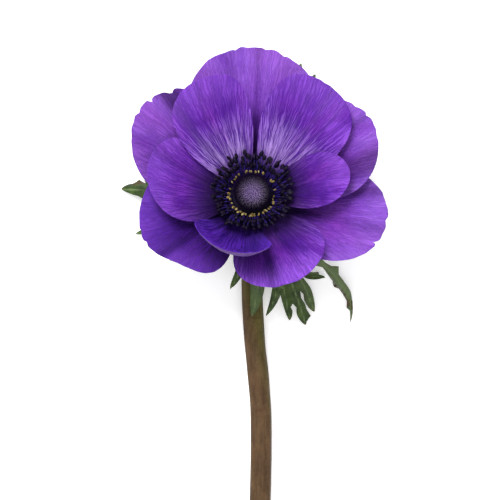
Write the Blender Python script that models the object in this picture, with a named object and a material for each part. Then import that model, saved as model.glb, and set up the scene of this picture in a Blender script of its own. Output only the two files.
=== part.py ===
"""A cut anemone flower, laid on its back with the bloom facing up.

+Z is up and the flower lies on z = 0. The stem runs along -Y to its cut end, and the neck bends up
into the bloom. The origin is the centre of the object's footprint.

Pieces: the stem with its receptacle, three cut involucral leaves, five outer and six inner petals,
three whorls of stamens, each joined at its base, and the dome of carpels.
"""

import math
from collections import namedtuple

import bmesh
import bpy
from mathutils import Matrix, Vector

MM = 0.001

# Driving dimensions, in millimetres and degrees.
BLOOM_X, BLOOM_Y = 0.0, 60.5  # the bloom's axis over the footprint
BLOOM_TILT = 16.0  # the bloom leans this far from straight up, away from the stem
STEM_RADIUS = 3.7
NECK_BEND_RADIUS = 15.0
NECK_LENGTH = 7.0  # straight, between the bend and the receptacle
RECEPTACLE_RADIUS = 8.6
RECEPTACLE_TOP, RECEPTACLE_UNDER = 0.5, -0.2
CLEAR = 0.35  # the gap left between pieces that touch
PETAL_THICK = 0.5
LEAF_THICK = 0.5
SHARPEST_SMOOTH = 50.0  # faces that meet at more than this angle keep a sharp edge

# Heights of the bloom's centre and of the neck, from the bend.
BEND_ANGLE = 90.0 - BLOOM_TILT
BEND_SIN, BEND_COS = math.sin(math.radians(BEND_ANGLE)), math.cos(math.radians(BEND_ANGLE))
BLOOM_Z = STEM_RADIUS + NECK_BEND_RADIUS * (1 - BEND_COS) + NECK_LENGTH * BEND_SIN
BEND_START_Y = -(NECK_BEND_RADIUS * BEND_SIN + NECK_LENGTH * BEND_COS)
BLOOM_CENTRE = Vector((0.0, 0.0, BLOOM_Z))
BLOOM_AXIS = Vector((0.0, BEND_COS, BEND_SIN))


# Every petal lies on a bowl around the bloom's axis, and the bowls are nested, so petals that
# overlap don't touch. azimuth turns the petal about the axis, from +X. root is the height where it
# starts, lift the bowl's slope past the claw and tip_lift its slope at the tip, in degrees. curl
# raises both margins, and roll one margin over the other, in millimetres. bend turns the blade
# sideways, in degrees at the tip.
Petal = namedtuple(
    "Petal", "name azimuth length width widest root lift tip_lift curl roll bend tip_roundness"
)
LOWEST, LOW, HIGH, HIGHEST = -3.45, -2.6, -1.75, -0.9
PETALS = (
    Petal("outer_petal_top", 90, 47, 44, 0.58, LOWEST, 15, 8, 0, 0, 0, 2.1),
    Petal("outer_petal_lower_left", 204, 36, 40, 0.52, LOWEST, 18, 11, 0, 0, 0, 1.7),
    Petal("outer_petal_lower_right", 345.5, 42, 33, 0.60, LOWEST, 15, 8, 0, 0, 0, 2.0),
    Petal("outer_petal_upper_left", 142, 44, 39, 0.58, LOW, 20, 12, 0, 0, 0, 1.75),
    Petal("outer_petal_upper_right", 31, 43.5, 36, 0.60, LOW, 20, 12, 0, 0, 0, 1.8),
    Petal("inner_petal_upper_right", 50.5, 41.2, 31, 0.67, HIGH, 28, 14, 0, 0, 4, 2.3),
    Petal("inner_petal_lower_right", 292.5, 32, 31.5, 0.62, HIGH, 24, 18, 0, 0, 0, 2.1),
    Petal("inner_petal_left", 174, 33, 28.5, 0.60, HIGH, 28, 20, 0, 0, -8, 2.0),
    Petal("inner_petal_upper_left", 120.5, 38.6, 27, 0.68, HIGHEST, 30, 18, 0, 0, -5, 2.4),
    Petal("inner_petal_right", 8.5, 30.5, 19, 0.62, HIGHEST, 30, 22, 0, 0, 0, 2.0),
    Petal("inner_petal_lower_left", 251, 36.5, 31, 0.70, HIGHEST, 24, 91, 3, 0, 0, 2.4),
)
ROOT_RADIUS = 5.4  # from the bloom's axis to a petal's root
CLAW_WIDTH = 5.0
CLAW_END = 0.2  # the share of the length that is still close under the stamens
PETAL_ACROSS, PETAL_ALONG = 8, 10  # faces


def new_object(name, bm, parent, material):
    mesh = bpy.data.meshes.new(name)
    bm.to_mesh(mesh)
    bm.free()
    mesh.shade_smooth()
    mesh.set_sharp_from_angle(angle=math.radians(SHARPEST_SMOOTH))
    mesh.materials.append(material)
    made = bpy.data.objects.new(name, mesh)
    bpy.context.scene.collection.objects.link(made)
    made.parent = parent
    return made


def new_empty(name, location, tilt, parent=None):
    made = bpy.data.objects.new(name, None)
    bpy.context.scene.collection.objects.link(made)
    made.location = location
    made.rotation_euler.x = tilt
    made.parent = parent
    return made


def plain_material(name, colour, roughness):
    made = bpy.data.materials.new(name)
    made.use_nodes = True
    shader = made.node_tree.nodes["Principled BSDF"]
    shader.inputs["Base Color"].default_value = (*colour, 1.0)
    shader.inputs["Roughness"].default_value = roughness
    shader.inputs["Metallic"].default_value = 0.0
    return made


def smoothstep(value):
    value = min(max(value, 0.0), 1.0)
    return value * value * (3 - 2 * value)


def solidify(obj, thickness):
    """Thickens a sheet to both sides by the same amount."""
    modifier = obj.modifiers.new("thickness", "SOLIDIFY")
    modifier.thickness = thickness * MM
    modifier.offset = 0.0


# Petals


def petal_slope(petal, share):
    """The bowl's slope in radians at this share of the petal's length: level in the claw at first."""
    if share < CLAW_END:
        degrees = petal.lift * smoothstep(share / CLAW_END)
    else:
        past_claw = min((share - CLAW_END) / (1 - CLAW_END), 1.0)
        degrees = petal.lift + (petal.tip_lift - petal.lift) * past_claw
    return math.radians(degrees)


def petal_profile(petal, distance, steps=24):
    """(radius, height) on the bowl, this distance from the root."""
    radius, height = ROOT_RADIUS, petal.root
    step = distance / steps
    for i in range(steps):
        slope = petal_slope(petal, step * (i + 0.5) / petal.length)
        radius += step * math.cos(slope)
        height += step * math.sin(slope)
    return radius, height


def petal_outline(petal, across, along):
    """(sideways, share of the length) of a place on the blade; across is -1 to 1, along 0 to 1."""
    tip_arc = (1 - abs(across) ** petal.tip_roundness) ** (1 / petal.tip_roundness)
    share = along * (petal.widest + (1 - petal.widest) * tip_arc)
    narrow = CLAW_WIDTH / petal.width
    grown = math.sin(math.pi / 2 * min(share / petal.widest, 1.0))
    return across * petal.width / 2 * (narrow + (1 - narrow) * grown), share


def petal_place(petal, across, along):
    """Where a place on the blade lies, in the bloom's frame: the flat blade is wrapped on a cone."""
    sideways, share = petal_outline(petal, across, along)
    slope = petal_slope(petal, share)
    radius, _ = petal_profile(petal, share * petal.length)
    turn = sideways * math.cos(slope) / radius
    farther, azimuth = 0.0, sideways / radius
    if abs(turn) > 1e-6:
        farther = sideways * (math.hypot(1, turn) - 1) / turn
        azimuth *= math.atan(turn) / turn
    radius, height = petal_profile(petal, share * petal.length + farther)
    azimuth += math.radians(petal.azimuth + petal.bend * share * share)
    raised = (petal.curl * across * across + petal.roll * across) * smoothstep(2 * share)
    radius -= raised * math.sin(slope)
    height += raised * math.cos(slope)
    return Vector((radius * math.cos(azimuth), radius * math.sin(azimuth), height))


def make_petal(petal, bloom, material):
    bm = bmesh.new()
    bmesh.ops.create_grid(bm, x_segments=PETAL_ACROSS, y_segments=PETAL_ALONG, size=1.0)
    for vert in bm.verts:
        vert.co = petal_place(petal, vert.co.x, (vert.co.y + 1) / 2) * MM
    bmesh.ops.reverse_faces(bm, faces=bm.faces[:])
    solidify(new_object(petal.name, bm, bloom, material), PETAL_THICK)


# Stem


STEM_SIDES = 14
BEND_STEPS = 8
# The stem bows gently from side to side as it lies: (distance along +Y from the bloom, offset
# along X), from its cut end to where it is straight into the bend.
STEM_BOW = (
    (-172.0, -0.6), (-150.0, 1.0), (-128.0, 2.2), (-106.0, 2.8), (-90.0, 3.1), (-74.0, 3.0),
    (-62.0, 2.1), (-49.0, 0.8), (-37.0, 0.1), (-26.0, -0.1),
)
# Past the neck the stem swells into the receptacle: (height on the bloom's axis, radius).
RECEPTACLE_OUTLINE = (
    (-5.0, STEM_RADIUS), (-4.3, 4.0), (-3.6, 4.6), (RECEPTACLE_UNDER, 4.8),
    (RECEPTACLE_UNDER, RECEPTACLE_RADIUS), (RECEPTACLE_TOP, RECEPTACLE_RADIUS),
)


def stem_path():
    """The points of the centreline, from the cut end up through the bend."""
    points = [Vector((x, y, STEM_RADIUS)) for y, x in STEM_BOW]
    for i in range(BEND_STEPS + 1):
        angle = math.radians(BEND_ANGLE) * i / BEND_STEPS
        points.append(Vector((
            0.0,
            BEND_START_Y + NECK_BEND_RADIUS * math.sin(angle),
            STEM_RADIUS + NECK_BEND_RADIUS * (1 - math.cos(angle)),
        )))
    return points


def ring(bm, centre, direction, radius):
    turn = direction.to_track_quat("Z", "Y").to_matrix().to_4x4()
    place = Matrix.Translation(centre * MM) @ turn
    made = bmesh.ops.create_circle(bm, segments=STEM_SIDES, radius=radius * MM, matrix=place)
    return made["verts"]


def skin(bm, rings):
    """Joins each ring to the next and fills both ends."""
    for low, high in zip(rings, rings[1:]):
        low_edges = {e for v in low for e in v.link_edges if e.other_vert(v) in low}
        high_edges = {e for v in high for e in v.link_edges if e.other_vert(v) in high}
        bmesh.ops.bridge_loops(bm, edges=list(low_edges | high_edges))
    for end in (rings[0], rings[-1]):
        bm.faces.new(end)
    bmesh.ops.recalc_face_normals(bm, faces=bm.faces[:])


def make_stem(flower, material):
    """The stem, its bent neck and the receptacle that carries the bloom, grown as one piece."""
    bm = bmesh.new()
    points = stem_path()
    rings = []
    for i, point in enumerate(points):
        before, after = points[max(i - 1, 0)], points[min(i + 1, len(points) - 1)]
        direction = after - before
        if i == 0 or i == len(points) - 1:
            direction = points[i + 1] - point if i == 0 else BLOOM_AXIS
        rings.append(ring(bm, point, direction.normalized(), STEM_RADIUS))
    for height, radius in RECEPTACLE_OUTLINE:
        rings.append(ring(bm, BLOOM_CENTRE + BLOOM_AXIS * height, BLOOM_AXIS, radius))
    skin(bm, rings)
    new_object("stem", bm, flower, material)


# Involucral leaves


# Each lobe: azimuth seen from above, length from the neck's axis, half width, height of its tip,
# degrees it bends sideways, and how far out the notch after it starts.
Lobe = namedtuple("Lobe", "azimuth reach half_width tip_height bend notch")
NECK_AT_LEAVES = -5.8  # height on the bloom's axis where the leaves join the neck
LEAF_NECK = BLOOM_CENTRE + BLOOM_AXIS * NECK_AT_LEAVES
LEAF_ROOT_RADIUS = STEM_RADIUS + 0.65
LEAVES = {
    "leaf_left": (
        Lobe(169, 38, 1.4, 0.35, 0, 32),
        Lobe(174.5, 45.5, 2.9, 0.35, 0, 19),
        Lobe(195.5, 42, 1.9, 0.35, 0, 18),
        Lobe(214, 35, 1.9, 0.35, 2, 17),
        Lobe(228, 29.5, 1.5, 1.0, 2, 0),
    ),
    "leaf_front": (
        Lobe(267, 31.0, 1.6, 9.2, -11, 18),
        Lobe(278, 39.5, 2.6, 8.8, -8, 22),
        Lobe(300, 39.7, 1.9, 8.2, -23, 27),
        Lobe(292.5, 43.2, 1.5, 0.35, -5, 38),
        Lobe(297.5, 46.5, 2.0, 0.35, -4, 35),
        Lobe(304.5, 43.8, 1.9, 0.35, -5, 30),
        Lobe(284, 36.5, 1.5, 0.8, 30, 28),
        Lobe(321, 54.0, 1.9, 0.35, -9, 0),
    ),
    "leaf_back": (
        Lobe(38, 36, 2.0, 0.35, 0, 18),
        Lobe(52, 40, 2.0, 0.35, 0, 24),
        Lobe(64, 47.5, 1.9, 0.35, 0, 34),
        Lobe(70.5, 49.5, 2.0, 0.35, 0, 22),
        Lobe(86, 38, 2.0, 0.35, 0, 0),
    ),
}
LOBE_OUTLINE = ((0.35, 1.0), (0.7, 0.9), (0.88, 0.55))  # (share past the notch, of the half width)
ROOT_LAST, ROOT_FIRST = 0.8, 0.2  # the blade leaves the neck between these shares of its azimuths
LEAF_ARCH = 1.7  # a leaf leaves the neck nearly level and falls ever more steeply
LEAF_CUT_STEP = 5.0  # the blade is cut into strips this wide, so that it can bend


def from_azimuth(degrees, distance):
    return Vector((math.cos(math.radians(degrees)), math.sin(math.radians(degrees)))) * distance


def lobe_point(lobe, distance, side):
    """A point on a lobe in plan: how far out from the neck's axis, and sideways."""
    ahead = from_azimuth(lobe.azimuth + lobe.bend * (distance / lobe.reach) ** 2, 1.0)
    return ahead * distance + Vector((-ahead.y, ahead.x)) * side


def lobe_side(lobe, notch, sign):
    """The points up one side of a lobe, from its notch to its tip."""
    return [
        lobe_point(lobe, notch + (lobe.reach - notch) * past, sign * wide * lobe.half_width)
        for past, wide in LOBE_OUTLINE
    ]


def leaf_outline(lobes):
    """The leaf in plan, counter-clockwise: lobe after lobe, then back along the neck."""
    points = []
    first_notch = lobes[0].notch
    for lobe, after in zip(lobes, (*lobes[1:], None)):
        points += lobe_side(lobe, first_notch, -1.0)
        points.append(lobe_point(lobe, lobe.reach, 0.0))
        last_notch = lobe.notch or first_notch
        points += reversed(lobe_side(lobe, last_notch, 1.0))
        first_notch = lobe.notch
        if after:
            points.append((lobe_point(lobe, lobe.notch, 0.0) + lobe_point(after, lobe.notch, 0.0)) / 2)
    start, end = lobes[0].azimuth, lobes[-1].azimuth
    for share in (ROOT_LAST, 0.5, ROOT_FIRST):
        points.append(from_azimuth(start + (end - start) * share, LEAF_ROOT_RADIUS))
    return points


def leaf_height(lobes, point):
    """Height of the blade over the table: level at the neck, and falling to the lobes' tips."""
    azimuth = math.degrees(math.atan2(point.y, point.x)) % 360
    weights = []
    for lobe in lobes:
        heading = lobe.azimuth + lobe.bend * min(point.length / lobe.reach, 1.0) ** 2
        weights.append(1 / (abs(azimuth - heading) + 0.5) ** 2)
    reach = sum(w * lobe.reach for w, lobe in zip(weights, lobes)) / sum(weights)
    tip = sum(w * lobe.tip_height for w, lobe in zip(weights, lobes)) / sum(weights)
    fallen = min(point.length / reach, 1.0) ** LEAF_ARCH
    return LEAF_NECK.z + (tip - LEAF_NECK.z) * fallen


def make_leaf(name, lobes, flower, material):
    bm = bmesh.new()
    outline = [bm.verts.new((p.x, p.y, 0.0)) for p in leaf_outline(lobes)]
    bm.faces.new(outline)
    middle = sum(lobe.azimuth for lobe in lobes) / len(lobes)
    ahead = from_azimuth(middle, 1.0).to_3d()
    longest = max(lobe.reach for lobe in lobes)
    cut = LEAF_ROOT_RADIUS + LEAF_CUT_STEP
    while cut < longest:
        bmesh.ops.bisect_plane(
            bm, geom=bm.verts[:] + bm.edges[:] + bm.faces[:], plane_co=ahead * cut, plane_no=ahead
        )
        cut += LEAF_CUT_STEP
    bmesh.ops.triangulate(bm, faces=bm.faces[:])
    for vert in bm.verts:
        height = leaf_height(lobes, vert.co.xy)
        vert.co = Vector((LEAF_NECK.x + vert.co.x, LEAF_NECK.y + vert.co.y, height)) * MM
    bmesh.ops.recalc_face_normals(bm, faces=bm.faces[:])
    made = new_object(name, bm, flower, material)
    solidify(made, LEAF_THICK)


# Carpels and stamens


DOME_RADIUS, DOME_HEIGHT = 6.3, 8.6
DOME_HALF_HEIGHT = DOME_HEIGHT / 1.6  # of the whole egg, which the receptacle cuts off low down
DOME_SIDES, DOME_ROWS = 16, 10


def make_dome(bloom, material):
    """The carpels, packed into one dome on the receptacle."""
    bm = bmesh.new()
    bmesh.ops.create_uvsphere(bm, u_segments=DOME_SIDES, v_segments=DOME_ROWS, radius=1.0)
    size = Vector((DOME_RADIUS, DOME_RADIUS, DOME_HALF_HEIGHT))
    bmesh.ops.scale(bm, vec=size * MM, verts=bm.verts)
    middle = RECEPTACLE_TOP + CLEAR + DOME_HEIGHT - DOME_HALF_HEIGHT
    bmesh.ops.translate(bm, vec=Vector((0, 0, middle)) * MM, verts=bm.verts)
    foot = Vector((0, 0, RECEPTACLE_TOP + CLEAR)) * MM
    cut = bmesh.ops.bisect_plane(
        bm, geom=bm.verts[:] + bm.edges[:] + bm.faces[:], plane_co=foot, plane_no=(0, 0, -1),
        clear_outer=True,
    )
    rim = [e for e in cut["geom_cut"] if isinstance(e, bmesh.types.BMEdge)]
    bmesh.ops.edgeloop_fill(bm, edges=rim)
    bmesh.ops.recalc_face_normals(bm, faces=bm.faces[:])
    new_object("carpel_dome", bm, bloom, material)


# Each whorl stands on its own low ring. lean is the filaments' slope from the bloom's axis, and
# stagger the share by which every other filament is shorter.
Whorl = namedtuple("Whorl", "name count ring_radius length lean anther_length anther_half_width stagger")
WHORLS = (
    Whorl("stamens_inner", 26, 6.8, 2.6, 22, 1.2, 0.42, 0.18),
    Whorl("stamens_middle", 30, 7.5, 4.8, 40, 1.7, 0.50, 0.22),
    Whorl("stamens_outer", 32, 8.2, 6.2, 50, 1.9, 0.55, 0.20),
)
RING_WIDTH, RING_HEIGHT = 0.35, 0.5
FILAMENT_HALF_WIDTH = 0.2


def stamen_levels(whorl, length):
    """(distance from the ring, half width) up one stamen: the filament, then its anther."""
    anther = whorl.anther_length
    return (
        (0.45 * length, FILAMENT_HALF_WIDTH),
        (length, FILAMENT_HALF_WIDTH),
        (length + 0.25 * anther, whorl.anther_half_width),
        (length + 0.75 * anther, whorl.anther_half_width),
        (length + anther, 0.45 * whorl.anther_half_width),
    )


def grow_stamen(bm, face, whorl, length):
    """Extrudes a face on top of the ring into a stamen."""
    foot = face.calc_center_median()
    outward = Vector((foot.x, foot.y, 0)).normalized()
    across = Vector((-outward.y, outward.x, 0))
    lean = math.radians(whorl.lean)
    along = outward * math.sin(lean) + Vector((0, 0, math.cos(lean)))
    depth = outward * math.cos(lean) - Vector((0, 0, math.sin(lean)))
    for far, half in stamen_levels(whorl, length):
        face = bmesh.ops.extrude_discrete_faces(bm, faces=[face])["faces"][0]
        centre = face.calc_center_median()
        corners = []
        for vert in face.verts:
            offset = vert.co - centre
            side = math.copysign(half, offset.dot(across))
            out = math.copysign(half, offset.dot(outward))
            corners.append(foot + (along * far + across * side + depth * out) * MM)
        for vert, corner in zip(face.verts, corners):
            vert.co = corner


def make_whorl(whorl, bloom, material):
    bm = bmesh.new()
    low = RECEPTACLE_TOP + CLEAR
    inner, outer = whorl.ring_radius - RING_WIDTH / 2, whorl.ring_radius + RING_WIDTH / 2
    section = ((inner, low), (outer, low), (outer, low + RING_HEIGHT), (inner, low + RING_HEIGHT))
    verts = [bm.verts.new(Vector((r, 0, z)) * MM) for r, z in section]
    edges = [bm.edges.new((a, b)) for a, b in zip(verts, verts[1:] + verts[:1])]
    bmesh.ops.spin(
        bm, geom=verts + edges, cent=(0, 0, 0), axis=(0, 0, 1), angle=2 * math.pi,
        steps=2 * whorl.count, use_merge=True,
    )
    bmesh.ops.remove_doubles(bm, verts=bm.verts, dist=1e-6)
    bmesh.ops.recalc_face_normals(bm, faces=bm.faces[:])
    tops = sorted(
        (f for f in bm.faces if f.normal.z > 0.9),
        key=lambda f: math.atan2(f.calc_center_median().y, f.calc_center_median().x),
    )
    for i, top in enumerate(tops[::2]):
        grow_stamen(bm, top, whorl, whorl.length * (1 - whorl.stagger * (i % 2)))
    new_object(whorl.name, bm, bloom, material)


def main():
    for obj in list(bpy.data.objects):
        bpy.data.objects.remove(obj)
    petal_violet = plain_material("petal_violet", (0.19, 0.05, 0.55), 0.55)
    stem_skin = plain_material("stem_skin", (0.15, 0.09, 0.05), 0.6)
    leaf_green = plain_material("leaf_green", (0.07, 0.11, 0.04), 0.6)
    carpel_dark = plain_material("carpel_dark", (0.05, 0.03, 0.09), 0.7)
    stamen_dark = plain_material("stamen_dark", (0.01, 0.01, 0.03), 0.5)
    flower = new_empty("flower", Vector((BLOOM_X, BLOOM_Y, 0)) * MM, 0.0)
    bloom = new_empty("bloom", BLOOM_CENTRE * MM, -math.radians(BLOOM_TILT), flower)
    make_stem(flower, stem_skin)
    for name, lobes in LEAVES.items():
        make_leaf(name, lobes, flower, leaf_green)
    for petal in PETALS:
        make_petal(petal, bloom, petal_violet)
    make_dome(bloom, carpel_dark)
    for whorl in WHORLS:
        make_whorl(whorl, bloom, stamen_dark)


main()
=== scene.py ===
import math
import random
from collections import namedtuple

import bmesh
import bpy
from mathutils import Matrix, Vector, noise


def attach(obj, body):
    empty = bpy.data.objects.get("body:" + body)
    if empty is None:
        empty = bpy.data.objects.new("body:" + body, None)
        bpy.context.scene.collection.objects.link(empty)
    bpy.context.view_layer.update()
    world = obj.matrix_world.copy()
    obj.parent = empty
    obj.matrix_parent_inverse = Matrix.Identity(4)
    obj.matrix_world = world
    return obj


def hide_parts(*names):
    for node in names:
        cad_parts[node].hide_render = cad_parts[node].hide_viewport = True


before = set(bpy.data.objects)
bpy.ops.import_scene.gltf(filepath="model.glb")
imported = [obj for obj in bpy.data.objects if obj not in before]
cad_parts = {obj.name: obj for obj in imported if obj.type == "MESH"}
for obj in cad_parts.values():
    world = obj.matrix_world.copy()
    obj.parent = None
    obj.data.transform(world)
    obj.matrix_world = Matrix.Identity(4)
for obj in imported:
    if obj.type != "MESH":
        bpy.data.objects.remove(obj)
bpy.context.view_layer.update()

# Stem. A downy green stalk flushed with brown, bent up at the neck where it swells into the
# receptacle, the pad that carries the bloom. It grew as one piece and was cut straight across.

MM = 0.001
BLOOM_X, BLOOM_Y = 0.0, 60.5  # the bloom's axis over the footprint, in millimetres as all below
BLOOM_TILT = 16.0
STEM_RADIUS = 3.7
NECK_BEND_RADIUS = 15.0
NECK_LENGTH = 7.0
RECEPTACLE_RADIUS = 8.6
RECEPTACLE_TOP, RECEPTACLE_UNDER = 0.5, -0.2
STEM_SIDES = 40
STEM_RIBS = 9
RIB_DEPTH = 0.07
RIB_TWIST = 40.0  # the length over which the ribs' wave turns by one radian
RIBS_START = 12.0  # the ribs rise over this length behind the bloom
UNEVEN_DEPTH, UNEVEN_LENGTH = 0.10, 9.0
RING_STEP = 1.2  # between the rings that the stem is made of
NECK_RINGS = 18

bend_angle = math.radians(90.0 - BLOOM_TILT)
bloom_z = (
    STEM_RADIUS + NECK_BEND_RADIUS * (1 - math.cos(bend_angle)) + NECK_LENGTH * math.sin(bend_angle)
)
bend_start_y = -(NECK_BEND_RADIUS * math.sin(bend_angle) + NECK_LENGTH * math.cos(bend_angle))
bloom_axis = Vector((0, math.cos(bend_angle), math.sin(bend_angle)))
bloom_centre = Vector((BLOOM_X, BLOOM_Y, bloom_z))
bloom_place = (
    Matrix.Translation(bloom_centre * MM) @ Matrix.Rotation(-math.radians(BLOOM_TILT), 4, "X")
)

# The stem's sideways bow as it lies: (distance from the bloom along -Y, offset along X).
STEM_BOW = (
    (172.0, -0.6), (150.0, 1.0), (128.0, 2.2), (106.0, 2.8), (90.0, 3.1), (74.0, 3.0), (62.0, 2.1),
    (49.0, 0.8), (37.0, 0.1), (26.0, -0.1), (-bend_start_y, 0.0),
)
# The receptacle's outline: (height on the bloom's axis, radius).
RECEPTACLE = (
    (-5.0, STEM_RADIUS), (-4.3, 4.0), (-3.6, 4.5), (-2.0, 4.8), (RECEPTACLE_UNDER - 0.3, 5.0),
    (RECEPTACLE_UNDER, 7.9), (0.15, RECEPTACLE_RADIUS), (RECEPTACLE_TOP, 8.2),
)
# The cut end: (radius, how far it is sunk). A soft pith, paler flesh and then a rim of skin.
CUT_END = ((0.5, 1.6), (0.9, 1.4), (1.15, 0.5), (1.6, 0.3), (2.9, 0.25), (3.3, 0.1), (3.6, 0.02))


def smoothstep(low, high, value):
    share = min(max((value - low) / (high - low), 0.0), 1.0)
    return share * share * (3 - 2 * share)


def tone(red, green, blue):
    """A colour given as 0 to 255 in sRGB, as the shader wants it."""
    parts = [part / 255 for part in (red, green, blue)]
    linear = [p / 12.92 if p <= 0.04045 else ((p + 0.055) / 1.055) ** 2.4 for p in parts]
    return (*linear, 1.0)


def make_piece(name, bm, material, slot, *nodes):
    """Finishes a piece of the flower: a smooth-shaded object that rides on the frame."""
    mesh = bpy.data.meshes.new(name)
    bm.to_mesh(mesh)
    bm.free()
    mesh.shade_smooth()
    mesh.materials.append(material)
    made = bpy.data.objects.new(name, mesh)
    bpy.context.scene.collection.objects.link(made)
    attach(made, "root")
    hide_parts(*nodes)
    return made


def bow_at(distance):
    """The stem's sideways offset at this distance from the bloom, on a smooth curve."""
    points = STEM_BOW
    i = next(i for i in range(len(points) - 1) if distance >= points[i + 1][0])
    (far, x_far), (near, x_near) = points[i], points[i + 1]
    before = points[max(i - 1, 0)]
    after = points[min(i + 2, len(points) - 1)]
    share = (far - distance) / (far - near)
    slope_far = (x_near - before[1]) / (before[0] - near) * (far - near)
    slope_near = (after[1] - x_far) / (far - after[0]) * (far - near)
    square, cube = share * share, share ** 3
    return (
        (2 * cube - 3 * square + 1) * x_far + (cube - 2 * square + share) * slope_far
        + (3 * square - 2 * cube) * x_near + (cube - square) * slope_near
    )


def stem_stations():
    """(centre, direction, radius) of each ring, from the cut end to the top of the receptacle."""
    distance = STEM_BOW[0][0]
    cut_end = Vector((bow_at(distance), -distance, STEM_RADIUS))
    stations = [(cut_end + Vector((0, sunk, 0)), Vector((0, 1, 0)), size) for size, sunk in CUT_END]
    while distance > -bend_start_y:
        centre = Vector((bow_at(distance), -distance, STEM_RADIUS))
        ahead = Vector((bow_at(max(distance - 1, -bend_start_y)), 1 - distance, STEM_RADIUS))
        stations.append((centre, ahead - centre, STEM_RADIUS))
        distance -= RING_STEP
    for i in range(NECK_RINGS + 1):
        angle = bend_angle * i / NECK_RINGS
        rise = NECK_BEND_RADIUS * (1 - math.cos(angle))
        centre = Vector((0, bend_start_y + NECK_BEND_RADIUS * math.sin(angle), STEM_RADIUS + rise))
        stations.append((centre, Vector((0, math.cos(angle), math.sin(angle))), STEM_RADIUS))
    for height, radius in RECEPTACLE:
        centre = Vector((0, 0, bloom_z)) + bloom_axis * height
        stations.append((centre, bloom_axis, radius))
    return stations


def make_stem(material):
    bm = bmesh.new()
    along = bm.verts.layers.float.new("along")  # distance from the bloom, in millimetres
    cut = bm.verts.layers.float.new("cut")  # 0 on the skin, up to 1 in the middle of the cut end
    edges = []
    travelled = 0.0
    stations = stem_stations()
    length = sum((b[0] - a[0]).length for a, b in zip(stations, stations[1:]))
    last = stations[0][0]
    for i, (centre, direction, radius) in enumerate(stations):
        travelled += (centre - last).length
        last = centre
        turn = direction.to_track_quat("Z", "Y").to_matrix().to_4x4()
        place = Matrix.Translation(centre) @ turn
        if not edges:
            verts = bmesh.ops.create_circle(bm, segments=STEM_SIDES, radius=1.0)["verts"]
            edges = bm.edges[:]
            angles = {v: math.atan2(v.co.y, v.co.x) for v in verts}
            ends = [verts]
        else:
            grown = bmesh.ops.extrude_edge_only(bm, edges=edges)["geom"]
            edges = [e for e in grown if isinstance(e, bmesh.types.BMEdge)
                     and all(v not in angles for v in e.verts)]
            verts = [v for v in grown if isinstance(v, bmesh.types.BMVert)]
            for vert in verts:
                beside = (edge.other_vert(vert) for edge in vert.link_edges)
                angles[vert] = angles[next(v for v in beside if v in ends[-1])]
            ends.append(verts)
        ribs_fade = smoothstep(0, RIBS_START, length - travelled)
        for vert in verts:
            angle = angles[vert]
            on_skin = Vector((math.cos(angle), math.sin(angle), travelled / UNEVEN_LENGTH))
            uneven = UNEVEN_DEPTH * (noise.noise(on_skin) - 0.3)
            rib = math.cos(STEM_RIBS * angle + travelled / RIB_TWIST)
            # The underside stays flat enough to rest on the surface.
            lift = 1.0 if math.sin(angle) > -0.7 else 0.3
            size = radius + ribs_fade * lift * (RIB_DEPTH * rib - RIB_DEPTH + uneven)
            vert.co = place @ Vector((math.cos(angle) * size, math.sin(angle) * size, 0))
            vert[along] = length - travelled
            vert[cut] = 1 - radius / STEM_RADIUS if i < len(CUT_END) else 0.0
    for vert in bm.verts:
        vert.co = (vert.co + Vector((BLOOM_X, BLOOM_Y, 0))) * MM
    bm.faces.new(ends[0])
    bm.faces.new(ends[-1])
    bmesh.ops.recalc_face_normals(bm, faces=bm.faces[:])
    return make_piece("stem", bm, material, "stem", "stem")


def node(tree, kind, inputs=(), **settings):
    """A shader node of this kind, with its settings and its linked or fixed inputs."""
    made = tree.nodes.new("ShaderNode" + kind)
    for name, value in settings.items():
        setattr(made, name, value)
    for key, value in dict(inputs).items():
        if isinstance(value, bpy.types.NodeSocket):
            tree.links.new(value, made.inputs[key])
        else:
            made.inputs[key].default_value = value
    return made


def sums(tree, operation, *values):
    """The output of a Math node on these values."""
    return node(tree, "Math", enumerate(values), operation=operation).outputs[0]


def weighed(tree, first, first_weight, second, second_weight):
    """The sum of two values, each times its weight."""
    first_part = sums(tree, "MULTIPLY", first, first_weight)
    return sums(tree, "ADD", first_part, sums(tree, "MULTIPLY", second, second_weight))


def blend(tree, share, first, second):
    """Mixes two colours."""
    made = node(tree, "Mix", {0: share, 6: first, 7: second}, data_type="RGBA")
    return made.outputs[2]


def ramp(tree, value, low, high, start=0.0, end=1.0):
    """Goes smoothly from start to end as the value goes from low to high."""
    made = node(
        tree, "MapRange", {0: value, 1: low, 2: high, 3: start, 4: end},
        interpolation_type="SMOOTHSTEP",
    )
    return made.outputs[0]


def object_place(tree):
    return node(tree, "TexCoord").outputs["Object"]


def scaled(tree, vector, *scale):
    """Stretches a pattern along the axes whose scale is small."""
    return node(tree, "Mapping", {"Vector": vector, "Scale": scale}).outputs[0]


def stored(tree, name):
    """A number that the mesh keeps at each of its points."""
    return node(tree, "Attribute", attribute_name=name).outputs["Fac"]


def noise_at(tree, vector, scale, detail=2.0, roughness=0.5):
    inputs = {"Vector": vector, "Scale": scale, "Detail": detail, "Roughness": roughness}
    return node(tree, "TexNoise", inputs).outputs["Fac"]


COLOUR, NUMBER, PLACE = "NodeSocketColor", "NodeSocketFloat", "NodeSocketVector"


def start_group(name, inputs, outputs):
    """A node group, with its own inputs and outputs as (name, kind, value) and (name, kind)."""
    tree = bpy.data.node_groups.new(name, "ShaderNodeTree")
    for label, kind, value in inputs:
        socket = tree.interface.new_socket(name=label, in_out="INPUT", socket_type=kind)
        socket.default_value = value
    for label, kind in outputs:
        tree.interface.new_socket(name=label, in_out="OUTPUT", socket_type=kind)
    return tree, tree.nodes.new("NodeGroupInput").outputs, tree.nodes.new("NodeGroupOutput").inputs


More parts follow.
